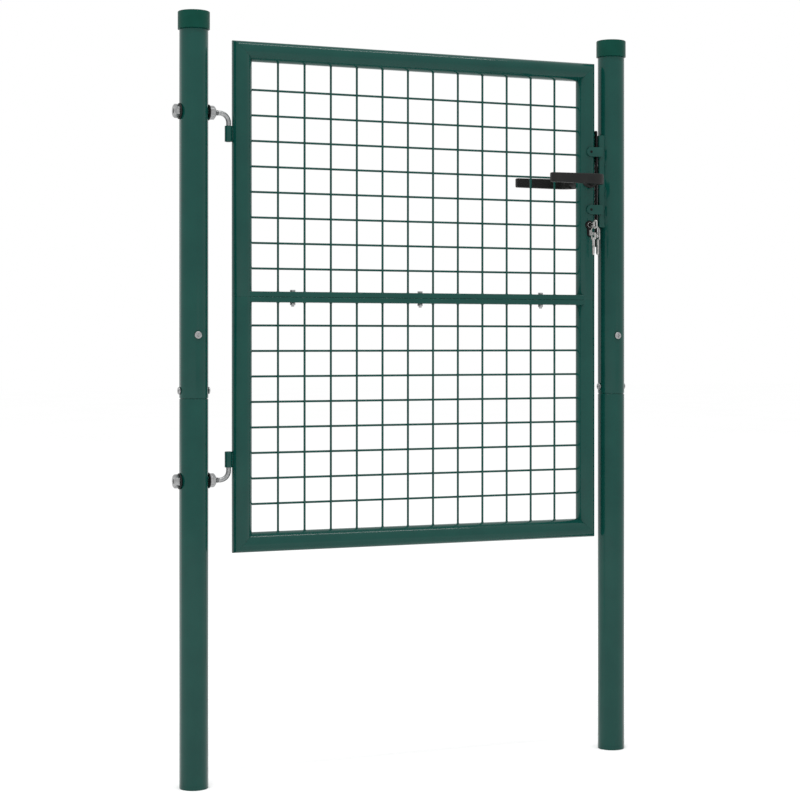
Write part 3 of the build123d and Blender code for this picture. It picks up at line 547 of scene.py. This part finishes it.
def key_ring():
    """A split ring: a flat-sided wire wound twice, its ends cut square."""
    low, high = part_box("key_ring")
    middle = (low + high) / 2
    wire = (high.y - low.y) / 2
    major = (high.x - low.x) / 2 - wire
    bpy.ops.object.select_all(action="DESELECT")
    bpy.ops.mesh.primitive_circle_add(vertices=14, radius=wire * 0.52, fill_type="NGON",
                                      location=(major, 0, 0), rotation=(0, 0, 0))
    piece = bpy.context.active_object
    piece.name = "split_key_ring"
    bpy.ops.object.transform_apply(location=True, rotation=True, scale=True)
    only(piece)
    bpy.ops.object.mode_set(mode="EDIT")
    bpy.ops.mesh.select_all(action="SELECT")
    bpy.ops.transform.resize(value=(1.55, 1.0, 1.0), center_override=(major, 0, 0))
    bpy.ops.mesh.delete(type="ONLY_FACE")
    bpy.ops.object.mode_set(mode="OBJECT")
    screw = piece.modifiers.new("two_turns", "SCREW")
    screw.axis = "Y"
    screw.angle = 4 * pi
    screw.screw_offset = wire * 0.98
    screw.steps = screw.render_steps = 120
    bpy.ops.object.modifier_apply(modifier=screw.name)
    outward(piece)
    only(piece)
    bpy.ops.object.mode_set(mode="EDIT")
    bpy.ops.mesh.select_all(action="DESELECT")
    bpy.ops.mesh.select_mode(type="EDGE")
    bpy.ops.mesh.select_non_manifold()
    bpy.ops.mesh.edge_face_add()
    bpy.ops.object.mode_set(mode="OBJECT")
    spread_y = [v.co.y for v in piece.data.vertices]
    shift = -(min(spread_y) + max(spread_y)) / 2
    piece.data.transform(Matrix.Translation(Vector((middle.x, middle.y + shift, middle.z))))
    outward(piece)
    settle(piece, 40)
    fit_out(piece, "nickel_plate", "ring")
    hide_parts("key_ring")


worn_zinc = zinc_plate()
hinge_threads()
lock_face()
tail_strip()
buffer_heads()
key_ring()


# ------------------------------------------------------------------ stage

# metres and watts
FLOOR_SIZE = 60
SOFTBOX_PLACE = (-2.2, -3.2, 3.4)
SOFTBOX_SIZE = 2.4
SOFTBOX_POWER = 40
OVERHEAD_PLACE = (0, -1.2, 5.0)
OVERHEAD_LENGTH = 6.0
OVERHEAD_WIDTH = 0.3
OVERHEAD_POWER = 80
EYE_PLACE = (-1.0868, -3.5392, 0.8618)
EYE_TURN = -23.25            # degrees from facing the gate squarely
EYE_LENS = 85.69             # millimetres, on a 36 mm sensor
EYE_SHIFT = -0.0727


def area_light(name, place, aim, size, size_y, power):
    """A rectangular soft light at a place, turned to face a point."""
    bpy.ops.object.light_add(type="AREA", location=place)
    lamp = bpy.context.active_object
    lamp.name = name
    lamp.data.shape = "RECTANGLE"
    lamp.data.size = size
    lamp.data.size_y = size_y
    lamp.data.energy = power
    lamp.rotation_euler = (aim - lamp.location).to_track_quat("-Z", "Y").to_euler()
    return lamp


def studio():
    """A white floor, an even white surround, a large soft light from the upper left, a strip overhead."""
    bpy.ops.object.select_all(action="DESELECT")
    bpy.ops.mesh.primitive_plane_add(size=FLOOR_SIZE, location=(0, 0, cad_low[2]))
    floor = bpy.context.active_object
    floor.name = "studio_floor"
    material, shader = new_material("matt_white_floor", "ffffff", 0.9, Specular_IOR_Level=0.0)
    haze = object_noise(material, 900.0, 1.0)
    wire_up(material, shader, "Base Color", tinted(material, haze.outputs["Fac"], "fefefe", "ffffff"))
    coat(floor, material)

    world = bpy.data.worlds.new("white_surround")
    world.use_nodes = True
    world.node_tree.nodes["Background"].inputs["Color"].default_value = (1, 1, 1, 1)
    world.node_tree.nodes["Background"].inputs["Strength"].default_value = 1.0
    bpy.context.scene.world = world

    middle = (Vector(cad_low) + Vector(cad_high)) / 2
    softbox = area_light("large_softbox", SOFTBOX_PLACE, middle, SOFTBOX_SIZE, SOFTBOX_SIZE, SOFTBOX_POWER)
    softbox.visible_glossy = False
    area_light("overhead_strip", OVERHEAD_PLACE, Vector((0, 0, middle.z)), OVERHEAD_LENGTH, OVERHEAD_WIDTH,
               OVERHEAD_POWER)


def camera():
    """Eye level at mid-height, turned to see the gate from its hinge side."""
    bpy.ops.object.camera_add(location=EYE_PLACE, rotation=(radians(90), 0, radians(EYE_TURN)))
    eye = bpy.context.active_object
    eye.data.lens = EYE_LENS
    eye.data.sensor_width = 36
    eye.data.shift_y = EYE_SHIFT
    bpy.context.scene.camera = eye


studio()
camera()
bpy.context.scene.view_settings.view_transform = "Standard"
